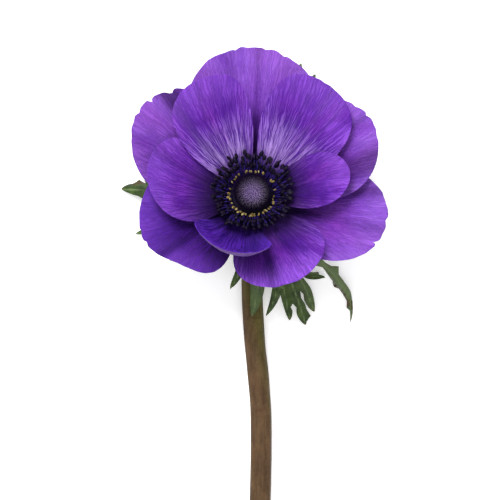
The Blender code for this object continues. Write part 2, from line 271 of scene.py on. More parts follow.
def start_material(name, **fixed):
    """A material with its Principled shader, and the shader's plain values set on its sockets."""
    made = bpy.data.materials.new(name)
    made.use_nodes = True
    shader = made.node_tree.nodes["Principled BSDF"]
    for label, value in fixed.items():
        shader.inputs[label.replace("_", " ")].default_value = value
    return made, made.node_tree, shader.inputs


def plug(tree, shader_inputs, colour=None, roughness=None, height=None, bump=0.3, distance=0.1):
    """Links what a surface's nodes give into its shader, the height through a Bump node."""
    if colour is not None:
        tree.links.new(colour, shader_inputs["Base Color"])
    if roughness is not None:
        tree.links.new(roughness, shader_inputs["Roughness"])
    if height is not None:
        inputs = {"Strength": bump, "Distance": distance * MM, "Height": height}
        tree.links.new(node(tree, "Bump", inputs).outputs[0], shader_inputs["Normal"])


def place_group(tree, group, **inputs):
    """Puts a node group into a material with its own values, and gives its outputs."""
    made = node(tree, "Group")
    made.node_tree = group
    for label, value in inputs.items():
        key = label.replace("_", " ")
        if isinstance(value, bpy.types.NodeSocket):
            tree.links.new(value, made.inputs[key])
        else:
            made.inputs[key].default_value = value
    return made.outputs


# Skin of stem and leaves: soft blotches, and fine pores.
mottle, group_in, group_out = start_group(
    "mottled_skin",
    (("Vector", PLACE, (0, 0, 0)), ("Light", COLOUR, (1, 1, 1, 1)), ("Dark", COLOUR, (0, 0, 0, 1)),
     ("Blotch size", NUMBER, 0.004), ("Pore size", NUMBER, 0.0005)),
    (("Colour", COLOUR), ("Height", NUMBER)),
)
blotch_scale = sums(mottle, "DIVIDE", 1.0, group_in["Blotch size"])
pore_scale = sums(mottle, "DIVIDE", 1.0, group_in["Pore size"])
blotches = noise_at(mottle, group_in["Vector"], blotch_scale, 4.0, 0.6)
pores = noise_at(mottle, group_in["Vector"], pore_scale, 2.0, 0.6)
tint = ramp(mottle, weighed(mottle, blotches, 1.3, pores, 0.5), 0.55, 1.2)
mottle.links.new(blend(mottle, tint, group_in["Dark"], group_in["Light"]), group_out["Colour"])
mottle.links.new(weighed(mottle, pores, 1.0, blotches, 0.4), group_out["Height"])

stem_skin, tree, shader = start_material("stem_skin", Roughness=0.62, Specular_IOR_Level=0.12)
place = object_place(tree)
along = stored(tree, "along")
stretched = scaled(tree, place, 1.0, 0.35, 1.0)
browns = place_group(
    tree, mottle, Vector=stretched, Light=tone(87, 65, 44), Dark=tone(57, 40, 25),
    Blotch_size=0.0028, Pore_size=0.0004,
)
greens = place_group(
    tree, mottle, Vector=stretched, Light=tone(92, 88, 40), Dark=tone(60, 58, 22),
    Blotch_size=0.003, Pore_size=0.0004,
)
side = node(tree, "SeparateXYZ", {0: place}).outputs["X"]
wander = noise_at(tree, stretched, 120.0, 3.0)
# The green reaches further from the bloom on the right, and its end wanders.
greener = weighed(tree, side, 4000.0, wander, 44.0)
near_bloom = ramp(tree, sums(tree, "SUBTRACT", along, greener), 8.0, 46.0, 1.0, 0.0)
skin = blend(tree, near_bloom, browns["Colour"], greens["Colour"])
streaks = noise_at(tree, scaled(tree, place, 1.0, 0.05, 1.0), 1500.0)
skin = blend(tree, ramp(tree, streaks, 0.4, 0.75, 0.0, 0.4), skin, tone(88, 72, 50))
rings = noise_at(tree, scaled(tree, place, 0.15, 1.0, 0.15), 260.0, 3.0, 0.7)
skin = blend(tree, ramp(tree, rings, 0.58, 0.7, 0.0, 0.3), skin, tone(60, 40, 26))
cut = stored(tree, "cut")
vessels = ramp(tree, noise_at(tree, place, 2600.0), 0.45, 0.7, 0.0, 0.4)
flesh = blend(tree, ramp(tree, cut, 0.5, 0.75), tone(120, 132, 74), tone(196, 194, 160))
flesh = blend(tree, vessels, flesh, tone(78, 84, 46))
skin = blend(tree, ramp(tree, cut, 0.03, 0.09), skin, flesh)
# Inside the bloom the receptacle is blue-black, as the feet of the stamens are.
skin = blend(tree, ramp(tree, along, 4.8, 6.2, 1.0, 0.0), skin, tone(12, 6, 26))
relief = sums(tree, "ADD", browns["Height"], streaks)
plug(tree, shader, colour=skin, height=relief, bump=0.35, distance=0.12)

make_stem(stem_skin)


# Involucral leaves. Three deeply lobed, toothed green leaves in a whorl on the neck just behind the
# bloom. Their lobes arch over and droop, and the longest tips rest on the surface.

# Each lobe: azimuth seen from above, length from the neck's axis, half width, height of its tip,
# degrees it bends sideways, how far out the notch after it starts, how much of its paler underside
# it turns up, its teeth, and the degrees that only its last part curls sideways. A tooth's start
# and length are shares of the way past the notch.
Lobe = namedtuple(
    "Lobe", "azimuth reach half_width tip_height bend notch pale teeth hook", defaults=(0,)
)
Tooth = namedtuple("Tooth", "side start length out")
LEAVES = {
    "leaf_left": (
        Lobe(169, 38, 1.4, 0.35, 0, 32, 0.2, ()),
        Lobe(174.5, 45.5, 2.9, 0.35, 0, 19, 0,
             (Tooth(1, 0.42, 0.26, 1.7), Tooth(-1, 0.36, 0.24, 1.5))),
        Lobe(195.5, 42, 1.9, 0.35, 0, 18, 0, (Tooth(1, 0.5, 0.2, 0.8),)),
        Lobe(214, 35, 1.9, 0.35, 2, 17, 0, (Tooth(-1, 0.5, 0.2, 0.8),)),
        Lobe(228, 29.5, 1.5, 1.0, 2, 0, 0, ()),
    ),
    "leaf_front": (
        Lobe(267, 31.0, 1.6, 9.2, -11, 18, 0, ()),
        Lobe(278, 39.5, 2.6, 8.8, -8, 22, 0.35, ()),
        Lobe(300, 39.7, 1.9, 8.2, -23, 27, 0, ()),
        Lobe(292.5, 43.2, 1.5, 0.35, -5, 38, 0, ()),
        Lobe(297.5, 46.5, 2.0, 0.35, -4, 35, 0, (Tooth(1, 0.5, 0.4, 1.4),)),
        Lobe(304.5, 43.8, 1.9, 0.35, -5, 30, 0.4, ()),
        Lobe(284, 36.5, 1.5, 0.8, 30, 28, 0, (Tooth(1, 0.35, 0.35, 1.2),)),
        Lobe(320, 54.0, 1.5, 0.35, -4, 0, 1.0,
             (Tooth(1, 0.14, 0.16, 2.0), Tooth(-1, 0.36, 0.14, 1.9), Tooth(1, 0.55, 0.12, 0.6),
              Tooth(-1, 0.72, 0.10, 1.1)), -7),
    ),
    "leaf_back": (
        Lobe(38, 36, 2.0, 0.35, 0, 18, 0, ()),
        Lobe(52, 40, 2.0, 0.35, 0, 24, 0, ()),
        Lobe(63.5, 49.3, 2.2, 0.35, 0, 34, 0, (Tooth(-1, 0.5, 0.2, 0.9),)),
        Lobe(70.5, 50.9, 2.2, 0.35, 0, 22, 0, (Tooth(1, 0.5, 0.2, 0.9),)),
        Lobe(86, 38, 2.0, 0.35, 0, 0, 0, ()),
    ),
}
LEAF_NECK = Vector((0, 0, bloom_z)) + bloom_axis * -5.8
LEAF_ROOT_RADIUS = STEM_RADIUS + 0.25
LEAF_THICK = 0.35
LEAF_ARCH = 1.7
LOBE_STEPS = 14
LEAF_CELL = 1.0  # the blade is cut into cells this wide, so that it can bend
MIDVEIN_DEPTH, MIDVEIN_WIDTH = 0.22, 0.35
FOLD_SLOPE, FOLD_WIDTH = 0.22, 2.5
LEAF_UNEVEN = 0.3
FLOOR_GAP = 0.05  # between the leaf's underside and the surface


def from_azimuth(degrees, distance):
    return Vector((math.cos(math.radians(degrees)), math.sin(math.radians(degrees)))) * distance


def lobe_heading(lobe, distance):
    """The lobe's azimuth this far out along its midvein, in degrees."""
    share = min(distance / lobe.reach, 1.0)
    return lobe.azimuth + lobe.bend * share ** 2 + lobe.hook * share ** 10


def lobe_point(lobe, distance, side):
    """A point on a lobe in plan: how far out from the neck's axis, and sideways."""
    ahead = from_azimuth(lobe_heading(lobe, distance), 1.0)
    return ahead * distance + Vector((-ahead.y, ahead.x)) * side


def lobe_half_width(lobe, past, side):
    """Half the lobe's width at this share of the way from its notch to its tip."""
    swell = 0.6 + 0.4 * smoothstep(0.0, 0.4, past)
    width = lobe.half_width * swell * max(1 - past ** 3.0, 0.0) ** 0.75
    for tooth in lobe.teeth:
        climb = (past - tooth.start) / tooth.length
        if tooth.side == side and 0 < climb < 1:
            width += tooth.out * (climb / 0.75 if climb < 0.75 else (1 - climb) / 0.25) ** 1.3
    return width


def lobe_side(lobe, notch, side):
    """The points up one side of a lobe, from its notch to its tip."""
    points = []
    for i in range(1, LOBE_STEPS):
        past = 1 - (1 - i / LOBE_STEPS) ** 1.25
        distance = notch + (lobe.reach - notch) * (0.12 + 0.88 * past)
        points.append(lobe_point(lobe, distance, side * lobe_half_width(lobe, past, side)))
    return points


def leaf_outline(lobes):
    points = []
    first_notch = lobes[0].notch
    for lobe, after in zip(lobes, (*lobes[1:], None)):
        points += lobe_side(lobe, first_notch, -1)
        points.append(lobe_point(lobe, lobe.reach, 0.0))
        points += reversed(lobe_side(lobe, lobe.notch or first_notch, 1))
        first_notch = lobe.notch
        if after:
            here, there = lobe_point(lobe, lobe.notch, 0.0), lobe_point(after, lobe.notch, 0.0)
            points.append((here + there) / 2)
    start, end = lobes[0].azimuth, lobes[-1].azimuth
    for i in range(5):
        share = 0.85 - 0.7 * i / 4
        points.append(from_azimuth(start + (end - start) * share, LEAF_ROOT_RADIUS))
    return points


def lobe_weights(lobes, point):
    """How strongly each lobe rules the blade here."""
    azimuth = math.degrees(math.atan2(point.y, point.x)) % 360
    weights = []
    for lobe in lobes:
        weights.append(1 / (abs(azimuth - lobe_heading(lobe, point.length)) + 0.5) ** 2)
    return [weight / sum(weights) for weight in weights]


def leaf_height(lobes, weights, point):
    reach = sum(w * lobe.reach for w, lobe in zip(weights, lobes))
    tip = sum(w * lobe.tip_height for w, lobe in zip(weights, lobes))
    fallen = min(point.length / reach, 1.0) ** LEAF_ARCH
    return LEAF_NECK.z + (tip - LEAF_NECK.z) * fallen


def make_leaf(name, lobes, material):
    bm = bmesh.new()
    tip_layer = bm.verts.layers.float.new("towards_tip")
    vein_layer = bm.verts.layers.float.new("off_vein")
    pale_layer = bm.verts.layers.float.new("pale")
    outline = [bm.verts.new((p.x, p.y, 0.0)) for p in leaf_outline(lobes)]
    bm.faces.new(outline)
    reach = max(lobe.reach for lobe in lobes)
    for axis in (Vector((1, 0, 0)), Vector((0, 1, 0))):
        cut = -math.floor(reach / LEAF_CELL) * LEAF_CELL
        while cut < reach:
            everything = bm.verts[:] + bm.edges[:] + bm.faces[:]
            bmesh.ops.bisect_plane(
                bm, geom=everything, plane_co=axis * cut, plane_no=axis, dist=1e-4
            )
            cut += LEAF_CELL
    bmesh.ops.triangulate(bm, faces=[f for f in bm.faces if len(f.verts) > 4])
    for vert in bm.verts:
        point = vert.co.xy
        weights = lobe_weights(lobes, point)
        height = leaf_height(lobes, weights, point)
        lobe = lobes[weights.index(max(weights))]
        middle = lobe_point(lobe, point.length, 0.0)
        off = (point - middle).length
        vert[vein_layer] = off
        vert[tip_layer] = point.length / lobe.reach
        vert[pale_layer] = sum(w * each.pale for w, each in zip(weights, lobes))
        # Each lobe is folded a little along its midvein, and the blade is uneven.
        fold = FOLD_SLOPE * min(off, FOLD_WIDTH) * smoothstep(8, 20, point.length)
        sunk = MIDVEIN_DEPTH * math.exp(-(off / MIDVEIN_WIDTH) ** 2)
        uneven = LEAF_UNEVEN * noise.noise(vert.co * 0.35) * smoothstep(5, 15, point.length)
        height = max(height + fold - sunk + uneven, LEAF_THICK / 2 + FLOOR_GAP)
        vert.co = Vector((point.x, point.y + LEAF_NECK.y, height))
        vert.co = (vert.co + Vector((BLOOM_X, BLOOM_Y, 0))) * MM
    bmesh.ops.recalc_face_normals(bm, faces=bm.faces[:])
    if sum(face.normal.z for face in bm.faces) < 0:
        bmesh.ops.reverse_faces(bm, faces=bm.faces[:])
    made = make_piece(name, bm, material, "leaf", name)
    thickness = made.modifiers.new("thickness", "SOLIDIFY")
    thickness.thickness = LEAF_THICK * MM
    thickness.offset = 0.0


leaf_green, tree, shader = start_material("leaf_green", Roughness=0.5, Specular_IOR_Level=0.2)
place = object_place(tree)
green = place_group(
    tree, mottle, Vector=place, Light=tone(66, 86, 38), Dark=tone(26, 42, 12),
    Blotch_size=0.004, Pore_size=0.0004,
)
vein = ramp(tree, stored(tree, "off_vein"), 0.05, 0.55, 0.75, 0.0)
colour = blend(tree, vein, green["Colour"], tone(104, 122, 78))
colour = blend(tree, sums(tree, "MULTIPLY", stored(tree, "pale"), 0.7), colour, tone(100, 114, 78))
tip = weighed(tree, stored(tree, "towards_tip"), 1.0, noise_at(tree, place, 500.0), 0.06)
colour = blend(tree, ramp(tree, tip, 1.0, 1.04, 0.0, 0.6), colour, tone(78, 52, 34))
plug(tree, shader, colour=colour, height=green["Height"], bump=0.4, distance=0.15)

for name, lobes in LEAVES.items():
    make_leaf(name, lobes, leaf_green)


# Petals. Eleven thin violet petals in two whorls, each narrowed to a short claw under the
# receptacle's rim. Fine veins fan out from the claw, and the margins are thin and a little ruffled.

# Each petal lies on a bowl around the bloom's axis, and the bowls are nested. azimuth turns the
# petal about the axis, from +X. root is the height where it starts, lift the bowl's slope past the
# claw and tip_lift its slope at the tip. curl raises both margins, and roll one margin over the
# other. bend turns the blade sideways, in degrees at the tip.
Petal = namedtuple(
    "Petal",
    "name azimuth length width widest root lift tip_lift curl roll bend tip_roundness ruffle",
)
# A fold runs up the blade and a nick dents its margin: (across the blade or its veins' fan, depth,
# width as a share). A fold also darkens the blade's colour along it, as painted shade.
Crease = namedtuple("Crease", "across depth width")
LOWEST, LOW, HIGH, HIGHEST = -3.45, -2.6, -1.75, -0.9
OUTER_PETALS = (
    Petal("outer_petal_top", 90, 47, 44, 0.58, LOWEST, 15, 8, 0, 0, 0, 2.1, 1.0),
    Petal("outer_petal_lower_left", 204, 36, 40, 0.52, LOWEST, 18, 11, 0, 0, 0, 1.7, 0.8),
    Petal("outer_petal_lower_right", 345.5, 42, 33, 0.60, LOWEST, 15, 8, 0, 0, 0, 2.0, 1.0),
    Petal("outer_petal_upper_left", 142, 44, 39, 0.58, LOW, 20, 12, 0, 0, 0, 1.75, 1.2),
    Petal("outer_petal_upper_right", 31, 43.5, 36, 0.60, LOW, 20, 12, 0, 0, 0, 1.8, 0.8),
)
ROOT_RADIUS = 5.4
CLAW_WIDTH = 5.0
CLAW_END = 0.2
FAN_ROOT, FAN_SPREAD = 4.0, 0.5  # veins fan out from 4 mm inside the root, 0.5 rad to the widest
FANS_ACROSS_MAP = 3
WAVE_HEIGHT, RUFFLE_HEIGHT = 0.6, 0.7
RIB_HEIGHT, FINE_RIB_HEIGHT = 0.10, 0.05
FOLD_SHARE = 0.55  # how much of a fold's depth the blade sinks; the rest is painted into its colour as shade
PETAL_THICK = 0.18
PETAL_ACROSS, PETAL_ALONG = 72, 84  # faces
PROFILE_STEPS = 160
PROFILE_REACH = 1.33  # how far the bowl goes on, in petal lengths, under a blade's rounded corners


def petal_slope(petal, share):
    """The bowl's slope in radians at this share of the petal's length; the root is level."""
    if share < CLAW_END:
        return math.radians(petal.lift * smoothstep(0, CLAW_END, share))
    past_claw = min((share - CLAW_END) / (1 - CLAW_END), 1.0)
    return math.radians(petal.lift + (petal.tip_lift - petal.lift) * past_claw)


def petal_profile(petal):
    """(radius, height) on the bowl at equal steps from the root to past the tip."""
    points = [(ROOT_RADIUS, petal.root)]
    step = petal.length * PROFILE_REACH / PROFILE_STEPS
    for i in range(PROFILE_STEPS):
        slope = petal_slope(petal, step * (i + 0.5) / petal.length)
        radius, height = points[-1]
        points.append((radius + step * math.cos(slope), height + step * math.sin(slope)))
    return points


def on_profile(points, share):
    """(radius, height) at any share of the petal's length."""
    place = min(max(share / PROFILE_REACH * PROFILE_STEPS, 0.0), PROFILE_STEPS - 1e-6)
    i = int(place)
    part = place - i
    return [a + (b - a) * part for a, b in zip(points[i], points[i + 1])]


# The folds darken the petals' colour as painted shade. Some, such as the wide one low on the upper
# right outer petal, sit where the inner petal beside it casts its shadow.
SHADED_FOLDS = {
    "outer_petal_top": (Crease(-0.10, 0.5, 0.06), Crease(0.35, 0.3, 0.12)),
    "outer_petal_lower_left": (Crease(0.42, 1.0, 0.10), Crease(0.2, 0.4, 0.22)),
    "outer_petal_lower_right": (Crease(0.55, 0.8, 0.12), Crease(-0.1, 0.4, 0.10)),
    "outer_petal_upper_left": (Crease(-0.42, 2.0, 0.11),),
    "outer_petal_upper_right": (Crease(0.08, 0.5, 0.04), Crease(-0.62, 1.6, 0.20)),
}
NICKS = {
    "outer_petal_top": (Crease(-0.22, 0.9, 0.05), Crease(0.25, 0.6, 0.04), Crease(-0.5, 0.5, 0.04)),
    "outer_petal_lower_left": (
        Crease(0.1, 0.7, 0.03), Crease(-0.12, 0.5, 0.03), Crease(0.66, 2.4, 0.3),
    ),
    "outer_petal_lower_right": (Crease(-0.42, 1.3, 0.035), Crease(0.1, 0.5, 0.05)),
    "outer_petal_upper_left": (
        Crease(-0.18, 1.5, 0.03), Crease(-0.52, 1.5, 0.05), Crease(-0.8, 1.6, 0.12),
        Crease(0.12, 0.6, 0.05),
    ),
    "outer_petal_upper_right": (Crease(0.12, 0.8, 0.04), Crease(0.4, 0.5, 0.05)),
}


def crease_depth(creases, across):
    """How deep the folds or nicks are here, in millimetres."""
    return sum(c.depth * math.exp(-((across - c.across) / c.width) ** 2) for c in creases)


def petal_outline(petal, across, along, seed):
    """(sideways, share of the length) of a place on the blade; across is -1 to 1, along 0 to 1."""
    tip_arc = (1 - abs(across) ** petal.tip_roundness) ** (1 / petal.tip_roundness)
    nick = noise.noise(Vector((across * 3.1, seed, 0.3)))
    nick += 0.5 * noise.noise(Vector((across * 8, seed, 7)))
    end = (petal.widest + (1 - petal.widest) * tip_arc) * (1 + 0.016 * petal.ruffle * (nick - 0.3))
    end -= crease_depth(NICKS.get(petal.name, ()), across) / petal.length
    share = along * end
    narrow = CLAW_WIDTH / petal.width
    grown = math.sin(math.pi / 2 * min(share / petal.widest, 1.0))
    uneven = 1 + 0.02 * petal.ruffle * noise.noise(Vector((share * 4, across, seed + 3)))
    return across * petal.width / 2 * (narrow + (1 - narrow) * grown) * uneven, share


def petal_fan(petal, sideways, share):
    """The angle at which veins leave the claw to get here, as a share of the widest place's."""
    return math.atan2(sideways, share * petal.length + FAN_ROOT) / FAN_SPREAD


def petal_relief(petal, across, along, share, fan, seed):
    """How far the blade stands off its bowl: soft waves, a ruffled margin, ribs and the folds."""
    waves = WAVE_HEIGHT * noise.noise(Vector((across * 1.3 + seed, share * 1.6, seed)))
    edge = max(abs(across), along) ** 5 * smoothstep(0.3, 0.6, share)
    ruffles = RUFFLE_HEIGHT * petal.ruffle * edge
    ruffles *= noise.noise(Vector((across * 3.5, share * 5, seed + 9)))
    ribs = RIB_HEIGHT * noise.noise(Vector((fan * 13, share * 2.2, seed + 5)))
    ribs += FINE_RIB_HEIGHT * noise.noise(Vector((fan * 32, share * 6, seed + 6)))
    folded = FOLD_SHARE * crease_depth(SHADED_FOLDS.get(petal.name, ()), fan)
    folded *= smoothstep(0.15, 0.5, share)
    return (waves + ruffles + ribs - folded) * smoothstep(0.08, 0.4, share)


def petal_place(petal, profile, across, along, seed):
    """(place in the bloom's frame, share, fan): the flat blade is wrapped on a cone."""
    sideways, share = petal_outline(petal, across, along, seed)
    fan = petal_fan(petal, sideways, share)
    slope = petal_slope(petal, share)
    radius = on_profile(profile, share)[0]
    turn = sideways * math.cos(slope) / radius
    farther, azimuth = 0.0, sideways / radius
    if abs(turn) > 1e-6:
        farther = sideways * (math.hypot(1, turn) - 1) / turn
        azimuth *= math.atan(turn) / turn
    radius, height = on_profile(profile, share + farther / petal.length)
    azimuth += math.radians(petal.azimuth + petal.bend * share * share)
    raised = (petal.curl * across * across + petal.roll * across) * smoothstep(0, 0.5, share)
    raised += petal_relief(petal, across, along, share, fan, seed)
    radius -= raised * math.sin(slope)
    height += raised * math.cos(slope)
    return Vector((radius * math.cos(azimuth), radius * math.sin(azimuth), height)), share, fan


def make_petal(petal, seed, material, underside):
    """A petal's blade, with its veins' fan as its UV map, and a paler material underneath."""
    bm = bmesh.new()
    bmesh.ops.create_grid(bm, x_segments=PETAL_ACROSS, y_segments=PETAL_ALONG, size=1.0)
    blade = bm.loops.layers.uv.new("blade")
    rim = bm.verts.layers.float.new("rim")
    fold = bm.verts.layers.float.new("fold")
    profile = petal_profile(petal)
    flat = {}
    for vert in bm.verts:
        # The columns crowd towards the margins, where the outline turns.
        across, along = math.sin(math.pi / 2 * vert.co.x), (vert.co.y + 1) / 2
        place, share, fan = petal_place(petal, profile, across, along, seed)
        vert.co = bloom_place @ (place * MM)
        vert[rim] = max(abs(across), along)
        # The fold's depth is kept for the colour, which darkens there as painted shade.
        vert[fold] = min(crease_depth(SHADED_FOLDS.get(petal.name, ()), fan), 1.0)
        flat[vert] = (fan / FANS_ACROSS_MAP + 0.5, share)
    for face in bm.faces:
        for loop in face.loops:
            loop[blade].uv = flat[loop.vert]
    bmesh.ops.reverse_faces(bm, faces=bm.faces[:])
    made = make_piece(petal.name, bm, material, "petal", petal.name)
    made.data.materials.append(underside)
    thickness = made.modifiers.new("thickness", "SOLIDIFY")
    thickness.thickness = PETAL_THICK * MM
    thickness.offset = 0.0
    thickness.material_offset = 1


# The tissue that all petals share: a ground colour that varies softly and darkens in the folds as
# painted shade, veins that fan out with the blade, a streaked base, a dark foot that is partly the
# petal's own colour and partly painted shade, and a paler margin.
tissue, group_in, group_out = start_group(
    "petal_tissue",
    (("Blade", COLOUR, (0.2, 0.05, 0.5, 1)), ("Deep", COLOUR, (0.1, 0.02, 0.3, 1)),
     ("Base", COLOUR, (0.5, 0.3, 0.7, 1)), ("Base reach", NUMBER, 0.45),
     ("Foot", COLOUR, (0.02, 0.01, 0.05, 1)), ("Foot reach", NUMBER, 0.3),
     ("Flush", COLOUR, (0.3, 0.05, 0.4, 1)), ("Flush strength", NUMBER, 0.5),
     ("Vein strength", NUMBER, 0.5), ("Margin", COLOUR, (0.4, 0.2, 0.8, 1)),
     ("Margin strength", NUMBER, 0.5), ("Seed", NUMBER, 0.0)),
    (("Colour", COLOUR), ("Height", NUMBER), ("Roughness", NUMBER)),
)
flat = node(tissue, "SeparateXYZ", {0: node(tissue, "UVMap", uv_map="blade").outputs[0]}).outputs
rim = stored(tissue, "rim")
fold = stored(tissue, "fold")


def blade_noise(across_scale, out_scale, detail, offset, across=flat["X"]):
    """Noise on the blade's own lie, finer across than outwards, so that it fans with the veins."""
    seed = sums(tissue, "ADD", group_in["Seed"], offset)
    vector = node(tissue, "CombineXYZ", {
        0: sums(tissue, "MULTIPLY", across, across_scale),
        1: sums(tissue, "MULTIPLY", flat["Y"], out_scale),
        2: seed,
    }).outputs[0]
    return noise_at(tissue, vector, 1.0, detail, 0.55)


def fades_out(reach, wander, amount):
    """1 at the foot of the blade and 0 past this reach; its edge runs out into the veins."""
    edge = weighed(tissue, sums(tissue, "SUBTRACT", wander, 0.5), amount, flat["Y"], 1.0)
    return ramp(tissue, edge, 0.10, reach, 1.0, 0.0)


wavy = weighed(tissue, flat["X"], 1.0, blade_noise(16.0, 12.0, 1.0, 71.0), 0.022)
broad_veins = blade_noise(74.0, 1.5, 2.0, 0.0, wavy)
fine_veins = blade_noise(170.0, 6.0, 2.0, 11.0, wavy)
crinkle = blade_noise(90.0, 34.0, 2.0, 53.0)
clouds = blade_noise(3.4, 2.4, 3.0, 23.0)
speckle = blade_noise(190.0, 90.0, 2.0, 31.0)
# Painted shade: the ground turns towards Deep along the folds.
lighter = weighed(tissue, ramp(tissue, clouds, 0.3, 0.7), 1.0, fold, -0.75)
lighter = sums(tissue, "MAXIMUM", lighter, 0.0)
ground = blend(tissue, lighter, group_in["Deep"], group_in["Blade"])
flush = ramp(tissue, blade_noise(4.4, 1.3, 2.0, 41.0), 0.42, 0.66)
flush = sums(tissue, "MULTIPLY", flush, group_in["Flush strength"])
ground = blend(tissue, flush, ground, group_in["Flush"])
streaks = weighed(tissue, broad_veins, 0.45, fine_veins, 0.55)
colour = blend(tissue, fades_out(group_in["Base reach"], streaks, 0.42), ground, group_in["Base"])
margin = sums(tissue, "MULTIPLY", ramp(tissue, rim, 0.55, 1.0), group_in["Margin strength"])
patches = ramp(tissue, blade_noise(5.0, 2.0, 1.0, 83.0), 0.22, 0.52)
margin = sums(tissue, "MULTIPLY", margin, patches)
colour = blend(tissue, margin, colour, group_in["Margin"])
vein_mask = ramp(tissue, weighed(tissue, broad_veins, 0.4, fine_veins, 0.6), 0.46, 0.56)
veins = sums(tissue, "MULTIPLY", vein_mask, ramp(tissue, flat["Y"], 0.3, 1.0, 1.0, 0.4))
veins = sums(tissue, "MULTIPLY", veins, group_in["Vein strength"])
colour = blend(tissue, veins, colour, group_in["Deep"])
colour = blend(tissue, ramp(tissue, speckle, 0.4, 0.75, 0.0, 0.22), colour, group_in["Blade"])
colour = blend(tissue, fades_out(group_in["Foot reach"], fine_veins, 0.3), colour, group_in["Foot"])
# Painted shade: the folds darken further towards the foot's colour.
colour = blend(tissue, sums(tissue, "MULTIPLY", fold, 0.55), colour, group_in["Foot"])
tissue.links.new(colour, group_out["Colour"])
tissue.links.new(weighed(tissue, vein_mask, -0.8, crinkle, 1.6), group_out["Height"])
tissue.links.new(ramp(tissue, clouds, 0.2, 0.8, 0.66, 0.52), group_out["Roughness"])


def petal_material(name, seed, **look):
    """A petal's violet. The look gives the tissue's colours, and how far and strongly they show."""
    made, tree, shader = start_material(
        name, Subsurface_Weight=0.15, Subsurface_Scale=0.0004, Sheen_Weight=0.03,
        Sheen_Roughness=0.4, Sheen_Tint=tone(200, 170, 255), Specular_IOR_Level=0.06,
    )
    shader["Subsurface Radius"].default_value = (0.6, 0.25, 1.0)
    outputs = place_group(tree, tissue, Seed=seed * 7.0, **look)
    plug(tree, shader, outputs["Colour"], outputs["Roughness"], outputs["Height"], 0.8, 0.3)
    return made


# Partly painted shade: the outer petals' dark base and foot are partly their own colour and partly
# the shade where the inner petals and stamens lie over them.
OUTER_LOOK = {
    "Blade": tone(124, 70, 180), "Deep": tone(92, 36, 150), "Flush": tone(128, 52, 160),
    "Flush_strength": 0.45, "Base": tone(54, 10, 108), "Base_reach": 0.62, "Foot": tone(20, 3, 50),
    "Foot_reach": 0.6, "Vein_strength": 0.6, "Margin": tone(146, 104, 196), "Margin_strength": 0.42,
}
UPPER_LEFT_LOOK = {
    **OUTER_LOOK, "Blade": tone(112, 62, 166), "Deep": tone(78, 26, 128), "Margin_strength": 0.3,
}
# Painted shadow: this petal's near-black base reaches out to its tip. It stands in for the shadow
# of the inner petals over it, as well as for its own dark base.
LOWER_LEFT_SHADOWED_LOOK = {
    **OUTER_LOOK, "Blade": tone(112, 56, 180), "Deep": tone(72, 20, 142),
    "Flush": tone(88, 26, 138), "Base": tone(2, 0, 32), "Base_reach": 1.45,
    "Margin": tone(118, 68, 186),
}
OWN_LOOKS = {
    "outer_petal_upper_left": UPPER_LEFT_LOOK, "outer_petal_lower_left": LOWER_LEFT_SHADOWED_LOOK,
}
UNDERSIDE_LOOK = {
    "Blade": tone(104, 74, 140), "Deep": tone(78, 50, 118), "Flush": tone(112, 80, 130),
    "Flush_strength": 0.4, "Base": tone(92, 80, 96), "Base_reach": 0.55, "Foot": tone(80, 84, 66),
    "Foot_reach": 0.3, "Vein_strength": 0.75, "Margin_strength": 0.0,
}
petal_underside = petal_material("petal_underside", 3, **UNDERSIDE_LOOK)
for seed, petal in enumerate(OUTER_PETALS, start=1):
    look = OWN_LOOKS.get(petal.name, OUTER_LOOK)
    make_petal(petal, seed, petal_material(petal.name, seed, **look), petal_underside)


# Inner petals. Six smaller and deeper coloured petals over the outer ones. The upper two are pale
# and streaked at the base, the others are blue-black there, partly in their own colour and partly
# as painted light and shade, and one stands up like a boat's bow.

INNER_LOOK = {
    "Blade": tone(104, 44, 164), "Deep": tone(60, 8, 120), "Flush": tone(116, 40, 156),
    "Flush_strength": 0.5, "Margin": tone(136, 82, 196), "Margin_strength": 0.55,
}
# Lit and shaded copies in part: the upper petals' pale base and the others' blue-black base and
# foot are partly the petals' own colour and partly painted light and painted shade.
PALE_BASE = {
    **INNER_LOOK, "Base": tone(170, 140, 208), "Base_reach": 0.68, "Foot": tone(84, 54, 124),
    "Foot_reach": 0.28, "Vein_strength": 0.95,
}
DARK_BASE = {
    **INNER_LOOK, "Base": tone(84, 52, 136), "Base_reach": 0.64, "Foot": tone(20, 5, 46),
    "Foot_reach": 0.74, "Vein_strength": 0.95,
}
PALE_MARGIN = {**DARK_BASE, "Margin": tone(150, 92, 216), "Margin_strength": 0.65}
BOAT = {
    **INNER_LOOK, "Blade": tone(92, 34, 176), "Deep": tone(26, 0, 84), "Flush": tone(78, 22, 150),
    "Base": tone(84, 44, 166), "Base_reach": 0.6, "Foot": tone(20, 4, 56), "Foot_reach": 0.5,
    "Vein_strength": 1.0, "Margin": tone(96, 48, 184),
}
INNER_PETALS = (
    Petal("inner_petal_upper_right", 50.5, 41.2, 31, 0.67, HIGH, 28, 14, 0, 0, 4, 2.3, 0.5),
    Petal("inner_petal_lower_right", 292.5, 32, 31.5, 0.62, HIGH, 24, 18, 0, 0, 0, 2.1, 0.5),
    Petal("inner_petal_left", 174, 33, 28.5, 0.60, HIGH, 28, 20, 0, 0, -8, 2.0, 0.4),
    Petal("inner_petal_upper_left", 120.5, 38.6, 27, 0.68, HIGHEST, 30, 18, 0, 0, -5, 2.4, 0.5),
    Petal("inner_petal_right", 8.5, 30.5, 19, 0.62, HIGHEST, 30, 22, 0, 0, 0, 2.0, 0.4),
    Petal("inner_petal_lower_left", 251, 36.5, 31, 0.70, HIGHEST, 24, 91, 3, 0, 0, 2.4, 0.3),
)
INNER_LOOKS = (PALE_BASE, PALE_MARGIN, DARK_BASE, PALE_BASE, DARK_BASE, BOAT)
